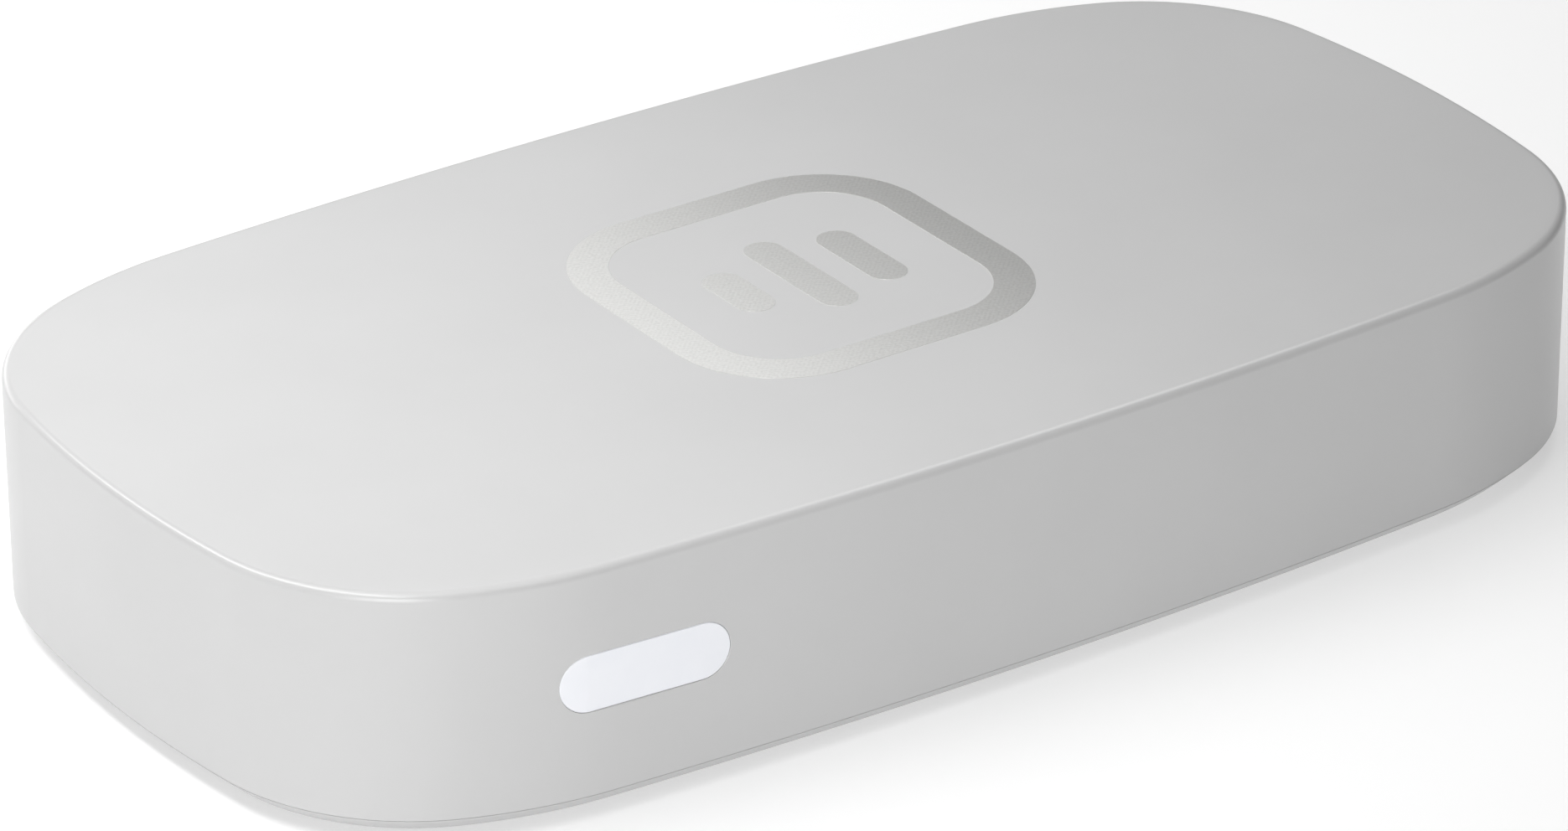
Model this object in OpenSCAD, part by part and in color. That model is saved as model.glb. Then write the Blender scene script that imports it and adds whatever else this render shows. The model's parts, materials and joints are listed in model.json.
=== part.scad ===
// Palm-size video interface box: a moulded housing with a status light window in front,
// two video sockets and one data socket behind, and its electronics inside.
// Millimetres. +Z is up, the window faces -Y, and the feet stand on z = 0.

/* [Body] */
// Length of the housing, along X
body_l = 107; // [100:1:120]
// Width of the housing, along Y
body_w = 57; // [54:1:64]
// Height of the housing without its feet
body_h = 17.2; // [17:0.1:20]
// Thickness of the side walls
wall = 1.6; // [1.4:0.1:1.8]
// Thickness of the roof
roof_t = 1.8; // [1.4:0.1:2]
// Radius along the top edge
top_edge_r = 0.6; // [0.4:0.1:1.2]
// Height of the sloping edge round the base
base_edge_h = 1.15; // [0.8:0.05:1.5]
// How far the sloping edge runs in under the body
base_edge_in = 1.1; // [0.6:0.1:1.4]

/* [Outline] */
// Where the gently curved short side ends, as the turn of its normal in degrees
end_turn = 8; // [5:0.5:12]
// Where the tight corner arc ends
corner_turn = 67.5; // [60:0.5:72]
// Where the wider shoulder arc ends and the long side begins
side_turn = 86.25; // [85:0.25:87.5]
// Radius of the tight corner arc
corner_r = 16; // [14:0.5:18]
// Radius of the wider shoulder arc
shoulder_r = 31; // [26:1:34]

/* [Base] */
// How far the rubber feet stand out below the base
foot_stand = 0.6; // [0.4:0.1:1.2]
// Diameter of a rubber foot
foot_d = 9; // [8:0.5:10]
// Depth of the recess that holds a foot
foot_recess = 0.8; // [0.6:0.1:1]
// Thickness of the floor
floor_t = 1.6; // [1.4:0.1:2]
// Height of the lip that locates the two covers
lip_h = 2; // [1.5:0.1:2.4]
// Length of the rating label's recess
label_l = 42; // [30:1:50]
// Width of the rating label's recess
label_w = 20; // [15:1:24]

/* [Status window] */
// Length of the window
window_l = 12.2; // [8:0.1:14]
// Height of the window
window_h = 4; // [3:0.1:5]
// Position of the window's centre along the front
window_x = -30.8; // [-31:0.1:-20]
// Height of the window's centre above the base
window_z = 9.2; // [8.5:0.1:9.5]

/* [Emblem] */
// Side of the square emblem
emblem_side = 27; // [20:1:30]
// Radius of its corners
emblem_r = 8; // [5:0.5:10]
// Width of its stroke
emblem_stroke = 2.8; // [2:0.1:3.5]

/* [Circuit board] */
// Thickness of the board
board_t = 1.6; // [1:0.2:1.6]
// Height of the board's underside above the base
board_lift = 4.8; // [4.6:0.1:5]
// Gap between the board's edge and the walls
board_gap = 1; // [0.8:0.1:1.5]

/* [Sockets] */
// Distance of each video socket from the middle of the back
video_x = 22; // [20:0.5:24]
// Length of a video socket's metal shell
video_depth = 11.9; // [11:0.1:12.5]
// Length of the data socket's metal shell
data_depth = 8; // [7.3:0.1:8.5]

/* [Hidden] */
$fn = 48;

// Levels, from the ground up
base_z = foot_stand;
seam_z = base_z + base_edge_h;
floor_z = base_z + floor_t;
recess_z = base_z + foot_recess;
lip_z = floor_z + lip_h;
board_z = base_z + board_lift;
board_top = board_z + board_t;
top_z = base_z + body_h;
roof_z = top_z - roof_t;

// Clearances
seam_gap = 0.04;
fit_gap = 0.1;
slip = 0.05;
skin = 0.01;
bite = 1;

// The outline is a chain of tangent arcs. The end and side radii follow from the length and width.
ARC_TURNS = [0, end_turn, corner_turn, side_turn, 90];
ARC_STEPS = [2, 10, 4, 4];
function reach_x(i) = cos(ARC_TURNS[i]) - cos(ARC_TURNS[i + 1]);
function reach_y(i) = sin(ARC_TURNS[i + 1]) - sin(ARC_TURNS[i]);
rest_x = body_l / 2 - reach_x(1) * corner_r - reach_x(2) * shoulder_r;
rest_y = body_w / 2 - reach_y(1) * corner_r - reach_y(2) * shoulder_r;
solve_by = reach_x(0) * reach_y(3) - reach_x(3) * reach_y(0);
end_r = (rest_x * reach_y(3) - rest_y * reach_x(3)) / solve_by;
side_r = (rest_y * reach_x(0) - rest_x * reach_y(0)) / solve_by;
ARC_RADII = [end_r, corner_r, shoulder_r, side_r];

function toward(turn) = [cos(turn), sin(turn)];
function arc_centre(i) = i == 0
    ? [body_l / 2 - end_r, 0]
    : arc_centre(i - 1) + (ARC_RADII[i - 1] - ARC_RADII[i]) * toward(ARC_TURNS[i]);
function arc_turn(i, k) = ARC_TURNS[i] + k * (ARC_TURNS[i + 1] - ARC_TURNS[i]) / ARC_STEPS[i];

// Points of one quarter of the outline, moved in by inset, and the whole outline by mirroring
function quarter(inset) = [
    for (i = [0:3], k = [0:ARC_STEPS[i] - (i < 3 ? 1 : 0)])
        arc_centre(i) + (ARC_RADII[i] - inset) * toward(arc_turn(i, k))
];
function outline(inset) = let (q = quarter(inset), last = len(q) - 1) concat(
    q,
    [for (i = [last - 1:-1:0]) [-q[i][0], q[i][1]]],
    [for (i = [1:last]) -q[i]],
    [for (i = [last - 1:-1:1]) [q[i][0], -q[i][1]]]
);

// Distance of the side wall's face from the middle line, at position x along the body
function wall_y(x) = body_w / 2 - side_r + sqrt(side_r * side_r - x * x);

// Points of a bar with round ends, and of a square with round corners
function stadium(l, h, steps = 10) = [
    for (end = [0, 1], i = [0:steps])
        [(1 - 2 * end) * (l - h) / 2, 0] + h / 2 * toward(180 * end - 90 + 180 * i / steps)
];
function round_square(side, r, steps = 8) = [
    for (c = [0:3], i = [0:steps])
        (side / 2 - r) * sqrt(2) * toward(45 + 90 * c) + r * toward(90 * c + 90 * i / steps)
];

// A convex outline, listed anticlockwise, with every side moved out by grow
function edge_normal(p, q) = let (d = q - p) [d[1], -d[0]] / norm(d);
function grown(points, grow) = [
    for (i = [0:len(points) - 1])
        let (
            n = len(points),
            before = edge_normal(points[(i + n - 1) % n], points[i]),
            after = edge_normal(points[i], points[(i + 1) % n])
        )
        points[i] + grow * (before + after) / (1 + before * after)
];

module slab(inset, low, high) {
    translate([0, 0, low])
        linear_extrude(height = high - low)
            polygon(outline(inset));
}

// Extrudes a shape drawn in x and z from the plane y towards the front by depth
module into_body(x, y, z, depth) {
    translate([x, y, z])
        rotate([90, 0, 0])
            linear_extrude(height = depth)
                children();
}

// A box given by its centre in x and y, its lowest z and its size
module block(x, y, z, size) {
    translate([x - size[0] / 2, y - size[1] / 2, z])
        cube(size);
}

module post(x, y, low, high, d) {
    translate([x, y, low])
        cylinder(h = high - low, d = d);
}

// Screws
CASE_SCREWS = [[41, 15.5], [-41, 15.5], [-41, -15.5], [41, -15.5]];
case_screw_d = 2.2;
case_head_d = 4.6;
case_head_h = 1.4;
case_seat_z = recess_z + 1.6;
case_tip_z = 12;
boss_low_z = board_z - 0.75;
boss_d = 6.2;
BOARD_SCREWS = [[34.5, 19.5], [-34.5, 19.5], [-14, -20], [34.5, -19.5]];
board_screw_d = 1.9;
board_head_d = 3.6;
board_head_h = 1.2;
recess_in_head = 0.8;

// Video socket: the wide side is up, the lower corners slope in
VIDEO_MOUTH = [[5.3, -2.275], [7, -0.4], [7, 2.275], [-7, 2.275], [-7, -0.4], [-5.3, -2.275]];
video_metal = 0.4;
video_z = board_top + 2.275 + video_metal + skin;
video_y = wall_y(video_x + 7.5) - 0.45;
video_tongue = [11.6, 1.9];
video_tongue_lift = 0.3;
video_tongue_back = 1.2;
video_pitch = 1;
video_contacts = 19;
contact_t = 0.12;

// Data socket
data_mouth = [8.34, 2.56];
data_metal = 0.3;
data_z = board_top + data_mouth[1] / 2 + data_metal + skin;
data_y = body_w / 2 - 0.6;
data_tongue = [6.69, 0.7];
data_tongue_back = 0.9;
data_pitch = 0.5;
data_contacts = 12;
data_contact_t = 0.08;

// Legs that hold the metal shells in the board
leg = [0.4, 1.4];
leg_low_z = board_z - 0.3;
VIDEO_LEGS = [3.2, 9.4];
DATA_LEGS = [2, 6];
data_leg_x = data_mouth[0] / 2 + data_metal;
video_leg_x = 7 + video_metal;

// Status light
light_z = base_z + window_z;
flange_grow = 0.7;
flange_t = 0.7;
window_in = wall + flange_t;
guide_l = 10.4;
guide_h = 3.2;
guide_back_y = -21;
baffle_t = 0.7;
led_size = [3, 1, 1.2];
led_y = guide_back_y + 0.75;
LED_X = [-2.6, 2.6];

// Shielded block: the can's outside and the chips under it
shield_x = 3;
shield_y = -4;
shield_size = [34, 26];
shield_metal = 0.25;
shield_h = 2.8;
shield_z = board_top + skin;
lid_z = shield_z + shield_h;
lid_skirt = 1.4;
chip_h = 1.2;
pad_under_lid = shield_h - chip_h - skin;
pad_t = 0.6;
PROCESSOR = [8.5, -4, 17];
carrier_t = 0.5;
MEMORY = [[-6.5, 2.5], [-6.5, -10.5]];
memory_size = [11, 8, 1];

// Heat sink on the shield's lid
sink_size = [32, 24];
sink_z = lid_z + shield_metal + pad_t;
sink_base_t = 1.2;
sink_fins = 9;
sink_fin_t = 1;
sink_top_z = roof_z - 0.7;

// Housing

// The closed outer form of the upper housing
module upper_form() {
    hull()
        for (turn = [0:30:90])
            slab(top_edge_r * (1 - cos(turn)), seam_z + seam_gap, top_z - top_edge_r * (1 - sin(turn)));
}

module socket_openings() {
    for (side = [-1, 1])
        into_body(side * video_x, body_w / 2 + bite, video_z, 6)
            polygon(grown(VIDEO_MOUTH, video_metal + 0.15));
    into_body(0, body_w / 2 + bite, data_z, 6)
        polygon(stadium(data_mouth[0] + 2 * data_metal + 0.3, data_mouth[1] + 2 * data_metal + 0.3));
}

module top_cover() {
    color([0.86, 0.86, 0.86])
        difference() {
            union() {
                difference() {
                    upper_form();
                    slab(wall, base_z, roof_z);
                }
                for (at = CASE_SCREWS)
                    post(at[0], at[1], boss_low_z, roof_z + roof_t / 2, boss_d);
            }
            for (at = CASE_SCREWS)
                post(at[0], at[1], boss_low_z - bite, case_tip_z + bite, case_screw_d + slip);
            socket_openings();
            into_body(window_x, -wall_y(window_x) + 2 * bite + wall, light_z, wall + 4 * bite)
                polygon(stadium(window_l + 2 * slip, window_h + 2 * slip));
            translate([0, 0, top_z - 0.35])
                linear_extrude(height = 1)
                    emblem_shape(slip);
        }
}

module bottom_cover() {
    color([0.82, 0.82, 0.82])
        difference() {
            union() {
                hull() {
                    slab(base_edge_in, base_z, base_z + skin);
                    slab(0, seam_z - skin, seam_z);
                }
                slab(wall + fit_gap, seam_z - skin, floor_z);
                difference() {
                    slab(wall + fit_gap, floor_z - skin, lip_z);
                    slab(wall + fit_gap + 1, floor_z - bite, lip_z + bite);
                }
                for (at = CASE_SCREWS)
                    post(at[0], at[1], floor_z - skin, boss_low_z - fit_gap, 7.4);
                for (at = BOARD_SCREWS)
                    post(at[0], at[1], floor_z - skin, board_z, 4.6);
            }
            for (at = CASE_SCREWS) {
                post(at[0], at[1], base_z - bite, recess_z, foot_d + 2 * slip);
                post(at[0], at[1], base_z, case_seat_z, case_head_d + 2 * fit_gap);
                post(at[0], at[1], base_z, board_z, case_screw_d + 2 * fit_gap);
            }
            for (at = BOARD_SCREWS)
                post(at[0], at[1], floor_z, board_z + bite, board_screw_d + slip);
            translate([0, 0, base_z - bite])
                linear_extrude(height = bite + 0.15)
                    square([label_l, label_w], center = true);
        }
}

function foot_profile(r = foot_d / 2, bevel = 0.3) =
    [[0, 0], [r - bevel, 0], [r, bevel], [r, recess_z], [0, recess_z]];

module rubber_feet() {
    color([0.25, 0.25, 0.26])
        for (at = CASE_SCREWS)
            translate([at[0], at[1], 0])
                rotate_extrude()
                    polygon(foot_profile());
}

module screw(at, head_low, head_d, head_h, shank_d, tip_z, up) {
    difference() {
        union() {
            post(at[0], at[1], head_low, head_low + head_h, head_d);
            post(at[0], at[1], min(head_low + head_h / 2, tip_z), max(head_low + head_h / 2, tip_z), shank_d);
        }
        for (turn = [0, 90])
            translate([at[0], at[1], up ? head_low + head_h : head_low])
                rotate(turn)
                    cube([head_d * 0.55, 0.45, 2 * recess_in_head], center = true);
    }
}

module case_screws() {
    color([0.2, 0.2, 0.21])
        for (at = CASE_SCREWS)
            screw(at, case_seat_z - case_head_h, case_head_d, case_head_h, case_screw_d, case_tip_z, false);
}

module board_screws() {
    color([0.7, 0.7, 0.72])
        for (at = BOARD_SCREWS)
            screw(at, board_top, board_head_d, board_head_h, board_screw_d, floor_z + 0.3, true);
}

module rating_label() {
    color([0.75, 0.75, 0.75])
        block(0, 0, base_z + 0.02, [label_l - 1, label_w - 1, 0.13]);
}

// A rounded square frame with three level bars in it
module emblem_shape(grow = 0) {
    difference() {
        polygon(round_square(emblem_side + 2 * grow, emblem_r + grow));
        polygon(round_square(emblem_side - 2 * emblem_stroke - 2 * grow, emblem_r - emblem_stroke - grow));
    }
    for (i = [-1:1])
        let (bar_h = emblem_side * [0.24, 0.42, 0.32][i + 1])
            translate([i * emblem_side * 0.185, 0])
                rotate(90)
                    polygon(stadium(bar_h + 2 * grow, emblem_stroke + 2 * grow, 8));
}

module top_emblem() {
    color([0.7, 0.7, 0.69])
        translate([0, 0, top_z - 0.35])
            linear_extrude(height = 0.37)
                emblem_shape();
}

// Status light

module status_window() {
    color([0.94, 0.95, 0.98]) {
        intersection() {
            into_body(window_x, -wall_y(window_x) + 2 * bite + wall, light_z, wall + 4 * bite)
                polygon(stadium(window_l, window_h));
            difference() {
                slab(0, light_z - window_h, light_z + window_h);
                slab(wall, light_z - 2 * window_h, light_z + 2 * window_h);
            }
        }
        intersection() {
            into_body(window_x, -wall_y(window_x) + 2 * bite + wall, light_z, wall + 4 * bite)
                polygon(stadium(window_l + 2 * flange_grow, window_h + 2 * flange_grow));
            difference() {
                slab(wall, light_z - window_h, light_z + window_h);
                slab(window_in, light_z - 2 * window_h, light_z + 2 * window_h);
            }
        }
    }
}

// The box from the LEDs to the window, ending on the curve of the window's back
module light_path(grow, front_inset, back_y) {
    intersection() {
        block(window_x, back_y - 5, light_z - guide_h / 2 - grow,
            [guide_l + 2 * grow, 10, guide_h + 2 * grow]);
        slab(front_inset, light_z - window_h, light_z + window_h);
    }
}

module light_guide() {
    color([0.85, 0.92, 0.95, 0.6])
        light_path(0, window_in + slip, guide_back_y);
}

module light_baffle() {
    color([0.12, 0.12, 0.12])
        difference() {
            light_path(baffle_t + slip, window_in + 0.3, guide_back_y - 0.6);
            light_path(slip, window_in - bite, guide_back_y + bite);
        }
}

module status_leds() {
    color([0.95, 0.93, 0.8])
        for (x = LED_X)
            block(window_x + x, led_y, board_top, led_size);
}

// Circuit board

module circuit_board() {
    color([0.1, 0.35, 0.25])
        difference() {
            slab(wall + board_gap, board_z, board_top);
            for (at = CASE_SCREWS)
                post(at[0], at[1], board_z - bite, board_top + bite, boss_d + 1);
            for (at = BOARD_SCREWS)
                post(at[0], at[1], board_z - bite, board_top + bite, board_screw_d + 2 * fit_gap);
            for (side = [-1, 1], x = [-video_leg_x, video_leg_x], y = VIDEO_LEGS)
                block(side * video_x + x, video_y - y, board_z - bite, leg_hole());
            for (x = [-data_leg_x, data_leg_x], y = DATA_LEGS)
                block(x, data_y - y, board_z - bite, leg_hole());
        }
}

function leg_hole() = [leg[0] + 0.4, leg[1] + 0.4, board_t + 2 * bite];

// Sockets

module video_shell(x) {
    color([0.75, 0.75, 0.77]) {
        difference() {
            into_body(x, video_y, video_z, video_depth)
                polygon(grown(VIDEO_MOUTH, video_metal));
            into_body(x, video_y + bite, video_z, video_depth + 2 * bite)
                polygon(VIDEO_MOUTH);
        }
        for (side = [-1, 1], y = VIDEO_LEGS)
            block(x + side * video_leg_x, video_y - y, leg_low_z, [leg[0], leg[1], video_z - leg_low_z]);
    }
}

module video_tongue(x) {
    color([0.1, 0.1, 0.1]) {
        block_back = video_depth - 2.4;
        translate([0, 0, video_tongue_lift])
            into_body(x, video_y - video_tongue_back, video_z, video_depth - video_tongue_back)
                square(video_tongue, center = true);
        into_body(x, video_y - block_back, video_z, 3.2)
            polygon(grown(VIDEO_MOUTH, -slip));
    }
}

// Contacts lie on both faces of the tongue, run out at the back and step down to the board
module video_contacts(x) {
    color([0.85, 0.7, 0.35]) {
        back_y = video_y - video_depth - 0.8 - slip;
        for (i = [0:video_contacts - 1]) {
            upper = i % 2 == 0;
            face_z = video_z + video_tongue_lift + (upper ? 1 : -1) * (video_tongue[1] + contact_t) / 2;
            pin_x = x + (i - (video_contacts - 1) / 2) * video_pitch / 2;
            leg_y = back_y - (upper ? 1.1 : 0.4);
            block(pin_x, video_y - 5.35, face_z - contact_t / 2, [0.4, 7.3, contact_t]);
            block(pin_x, leg_y, board_top, [0.3, 0.3, 1.6]);
            block(pin_x, leg_y - 0.45, board_top, [0.3, 1, 0.2]);
        }
    }
}

module data_shell() {
    color([0.75, 0.75, 0.77]) {
        difference() {
            into_body(0, data_y, data_z, data_depth)
                polygon(stadium(data_mouth[0] + 2 * data_metal, data_mouth[1] + 2 * data_metal));
            into_body(0, data_y + bite, data_z, data_depth + 2 * bite)
                polygon(stadium(data_mouth[0], data_mouth[1]));
        }
        for (side = [-1, 1], y = DATA_LEGS)
            block(side * data_leg_x, data_y - y, leg_low_z, [leg[0], leg[1], data_z - leg_low_z]);
    }
}

module data_tongue() {
    color([0.1, 0.1, 0.1]) {
        into_body(0, data_y - data_tongue_back, data_z, data_depth - data_tongue_back)
            square(data_tongue, center = true);
        into_body(0, data_y - data_depth + 2, data_z, 2.6)
            polygon(stadium(data_mouth[0] - 2 * slip, data_mouth[1] - 2 * slip));
    }
}

module data_contacts() {
    color([0.85, 0.7, 0.35])
        for (i = [0:data_contacts - 1]) {
            pin_x = (i - (data_contacts - 1) / 2) * data_pitch;
            for (low_z = [data_z + data_tongue[1] / 2, data_z - data_tongue[1] / 2 - data_contact_t])
                block(pin_x, data_y - 3.4, low_z, [0.26, 4.4, data_contact_t]);
            block(pin_x, data_y - data_depth - 1.2, board_top, [0.26, 1, 0.2]);
        }
}

// Shield, chips and heat sink

module shield_frame() {
    color([0.72, 0.72, 0.74])
        difference() {
            block(shield_x, shield_y, shield_z, [shield_size[0], shield_size[1], shield_h]);
            block(shield_x, shield_y, shield_z - bite,
                [shield_size[0] - 2 * shield_metal, shield_size[1] - 2 * shield_metal, shield_h + 2 * bite]);
        }
}

module shield_lid() {
    rim = 2 * (shield_metal + slip);
    color([0.78, 0.78, 0.8])
        difference() {
            block(shield_x, shield_y, lid_z - lid_skirt,
                [shield_size[0] + rim, shield_size[1] + rim, lid_skirt + shield_metal]);
            block(shield_x, shield_y, lid_z - 2 * lid_skirt,
                [shield_size[0] + 2 * slip, shield_size[1] + 2 * slip, 2 * lid_skirt]);
        }
}

module heat_sink() {
    color([0.3, 0.3, 0.32]) {
        block(shield_x, shield_y, sink_z, [sink_size[0], sink_size[1], sink_base_t]);
        for (i = [0:sink_fins - 1])
            translate([shield_x - sink_size[0] / 2 + i * (sink_size[0] - sink_fin_t) / (sink_fins - 1), 0, 0])
                translate([0, shield_y - sink_size[1] / 2, sink_z + sink_base_t - skin])
                    cube([sink_fin_t, sink_size[1], sink_top_z - sink_z - sink_base_t + skin]);
    }
}

module heat_sink_pad() {
    color([0.55, 0.6, 0.68])
        block(shield_x, shield_y, lid_z + shield_metal, [sink_size[0] - 2, sink_size[1] - 2, pad_t]);
}

module chip_thermal_pads() {
    color([0.6, 0.65, 0.75]) {
        block(PROCESSOR[0], PROCESSOR[1], lid_z - pad_under_lid, [14, 14, pad_under_lid]);
        for (at = MEMORY)
            block(at[0], at[1], board_top + memory_size[2], [9, 6.5, lid_z - board_top - memory_size[2]]);
    }
}

module video_processor() {
    color([0.12, 0.12, 0.13]) {
        block(PROCESSOR[0], PROCESSOR[1], board_top, [PROCESSOR[2], PROCESSOR[2], carrier_t]);
        block(PROCESSOR[0], PROCESSOR[1], board_top + carrier_t - skin,
            [PROCESSOR[2] - 2, PROCESSOR[2] - 2, chip_h - carrier_t + skin]);
    }
}

module memory_chips() {
    color([0.13, 0.13, 0.14])
        for (at = MEMORY)
            block(at[0], at[1], board_top, memory_size);
}

// A flat chip with a row of leads along all four sides, or along two
module leaded_chip(x, y, body, leads, pitch, four_sided) {
    block(x, y, board_top + 0.1, body);
    for (turn = four_sided ? [0:90:270] : [0, 180])
        translate([x, y, board_top])
            rotate(turn)
                lead_row(leads, pitch, (turn % 180 == 0 ? body[1] : body[0]) / 2);
}

module lead_row(leads, pitch, y) {
    for (i = [0:leads - 1])
        block((i - (leads - 1) / 2) * pitch, y, 0, [pitch / 2, 0.9, 0.2]);
}

module video_receiver() {
    color([0.12, 0.12, 0.13])
        leaded_chip(-24, 4, [10, 10, 1], 16, 0.5, true);
}

module video_retimer() {
    color([0.12, 0.12, 0.13])
        leaded_chip(27, 7, [7, 7, 0.9], 11, 0.5, true);
}

module usb_bridge() {
    color([0.12, 0.12, 0.13])
        leaded_chip(3, 13.8, [6.6, 6, 0.9], 9, 0.5, true);
}

module flash_chip() {
    color([0.12, 0.12, 0.13])
        leaded_chip(-19, -8, [5.2, 5.2, 1.5], 4, 1.27, false);
}

module crystal_oscillators() {
    color([0.8, 0.8, 0.82])
        for (at = [[-33, 4], [26, -3], [-5, 13.5]])
            block(at[0], at[1], board_top, [3.2, 2.5, 0.8]);
}

module power_inductors() {
    color([0.3, 0.3, 0.31])
        for (at = [[28, -10], [35, -10], [35, -3], [42, 0]])
            difference() {
                block(at[0], at[1], board_top, [5, 5, 3]);
                translate([at[0], at[1], board_top + 2.8])
                    cylinder(h = bite, d = 3.4);
            }
}

module voltage_regulators() {
    color([0.12, 0.12, 0.13])
        for (at = [[28, -16], [41, -7.5], [43, 6]])
            leaded_chip(at[0], at[1], [3, 3, 0.8], 4, 0.65, true);
}

// Rows of small parts with metal ends: place, count, step and size of each row
CAPACITOR_ROWS = [
    [[-25, 11], 5, [2, 0], [1, 1.6, 0.9]],
    [[-33, -3], 5, [0, -2.2], [1.6, 0.9, 0.9]],
    [[-27, -5], 4, [0, -2.2], [1.6, 0.9, 0.9]],
    [[-10, -24], 12, [2.6, 0], [1, 1.6, 0.9]],
    [[24, -20], 4, [2.2, 0], [1.2, 2, 1.2]],
    [[34, 6], 4, [0, 2.2], [2, 1.2, 1.2]],
    [[46, -4], 4, [0, 2.4], [1.6, 0.9, 0.9]]
];
RESISTOR_ROWS = [
    [[-44, -4], 6, [0, 2], [1, 0.5, 0.35]],
    [[-40, -4], 6, [0, 2], [1, 0.5, 0.35]],
    [[-8, -21], 14, [2, 0], [0.5, 1, 0.35]],
    [[-37, 11], 4, [2, 0], [0.5, 1, 0.35]],
    [[23.5, 1.4], 5, [1.6, 0], [0.5, 1, 0.35]]
];

module part_rows(rows) {
    for (row = rows, i = [0:row[1] - 1])
        block(row[0][0] + i * row[2][0], row[0][1] + i * row[2][1], board_top, row[3]);
}

module ceramic_capacitors() {
    color([0.7, 0.58, 0.42])
        part_rows(CAPACITOR_ROWS);
}

module chip_resistors() {
    color([0.15, 0.15, 0.16])
        part_rows(RESISTOR_ROWS);
}

module esd_arrays() {
    color([0.14, 0.14, 0.15])
        for (x = [-29.5, -14.6, 14.6, 29.5])
            block(x, 12.6, board_top, [1.4, 2.4, 0.5]);
}

top_cover();
bottom_cover();
rubber_feet();
case_screws();
rating_label();
top_emblem();
status_window();
light_guide();
light_baffle();
status_leds();
circuit_board();
board_screws();
video_shell(-video_x);  // video_in_shell
video_tongue(-video_x);  // video_in_tongue
video_contacts(-video_x);  // video_in_contacts
video_shell(video_x);  // video_out_shell
video_tongue(video_x);  // video_out_tongue
video_contacts(video_x);  // video_out_contacts
data_shell();  // usb_c_shell
data_tongue();  // usb_c_tongue
data_contacts();  // usb_c_contacts
shield_frame();
shield_lid();
heat_sink();
heat_sink_pad();
chip_thermal_pads();
video_processor();
memory_chips();
video_receiver();
video_retimer();
usb_bridge();
flash_chip();
crystal_oscillators();
power_inductors();
voltage_regulators();
ceramic_capacitors();
chip_resistors();
esd_arrays();
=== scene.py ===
"""Looks of a palm-size video interface box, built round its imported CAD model."""
import json
import math

import bmesh
import bpy
from mathutils import Matrix, Vector


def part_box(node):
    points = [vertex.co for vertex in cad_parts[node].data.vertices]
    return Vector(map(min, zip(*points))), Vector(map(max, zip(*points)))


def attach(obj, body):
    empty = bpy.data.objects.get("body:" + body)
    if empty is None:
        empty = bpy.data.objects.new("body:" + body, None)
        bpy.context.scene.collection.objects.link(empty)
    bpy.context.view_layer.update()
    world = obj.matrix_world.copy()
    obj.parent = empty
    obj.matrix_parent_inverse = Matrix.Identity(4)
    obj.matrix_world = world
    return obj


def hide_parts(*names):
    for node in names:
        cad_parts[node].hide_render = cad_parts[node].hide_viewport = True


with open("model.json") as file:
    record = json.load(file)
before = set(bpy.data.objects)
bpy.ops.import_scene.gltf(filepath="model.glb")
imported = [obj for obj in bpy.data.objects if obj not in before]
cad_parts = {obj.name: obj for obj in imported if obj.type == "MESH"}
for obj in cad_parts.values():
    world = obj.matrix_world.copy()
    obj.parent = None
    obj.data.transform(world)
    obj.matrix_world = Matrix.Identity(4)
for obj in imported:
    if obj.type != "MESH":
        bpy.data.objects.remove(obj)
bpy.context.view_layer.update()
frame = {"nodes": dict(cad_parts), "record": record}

MM = 0.001
NODES = frame["nodes"]


def box_mm(node):
    """Lowest and highest corner of a CAD node, in millimetres."""
    low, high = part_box(node)
    return low / MM, high / MM


# ---------------------------------------------------------------- camera

# Angles in degrees, lengths in millimetres. CAMERA_SLIDE moves the body across and up in the frame.
CAMERA_AZIMUTH = -34.45
CAMERA_ELEVATION = 26.74
CAMERA_ROLL = -0.317
CAMERA_DISTANCE = 522.3
CAMERA_SLIDE = (1.14, 1.78)
CAMERA_LENS = 178.45
SENSOR_WIDTH = 36

cover_low, cover_high = box_mm("top_cover")
feet_low, feet_high = box_mm("rubber_feet")

LENGTH = cover_high.x - cover_low.x
WIDTH = cover_high.y - cover_low.y
BASE_Z = box_mm("bottom_cover")[0].z
SEAM_Z = cover_low.z
TOP_Z = cover_high.z
BODY_CENTRE = Vector((0, 0, (BASE_Z + TOP_Z) / 2))


def make_camera():
    """The camera stands CAMERA_DISTANCE from the body's centre, turned and lifted by the angles above."""
    azimuth = math.radians(CAMERA_AZIMUTH)
    elevation = math.radians(CAMERA_ELEVATION)
    roll = math.radians(CAMERA_ROLL)
    right = Vector((math.cos(azimuth), math.sin(azimuth), 0))
    back = Vector((
        math.sin(azimuth) * math.cos(elevation),
        -math.cos(azimuth) * math.cos(elevation),
        math.sin(elevation),
    ))
    up = back.cross(right)
    across = right * math.cos(roll) + up * math.sin(roll)
    upward = up * math.cos(roll) - right * math.sin(roll)
    place = BODY_CENTRE + back * CAMERA_DISTANCE - across * CAMERA_SLIDE[0] - upward * CAMERA_SLIDE[1]
    data = bpy.data.cameras.new("camera")
    data.lens = CAMERA_LENS
    data.sensor_width = SENSOR_WIDTH
    data.clip_start = 0.01
    camera = bpy.data.objects.new("camera", data)
    bpy.context.scene.collection.objects.link(camera)
    turn = Matrix((across, upward, back)).transposed().to_4x4()
    camera.matrix_world = Matrix.Translation(place * MM) @ turn
    bpy.context.scene.camera = camera
    return camera


make_camera()

# ---------------------------------------------------------------- outline of the housing

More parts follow.
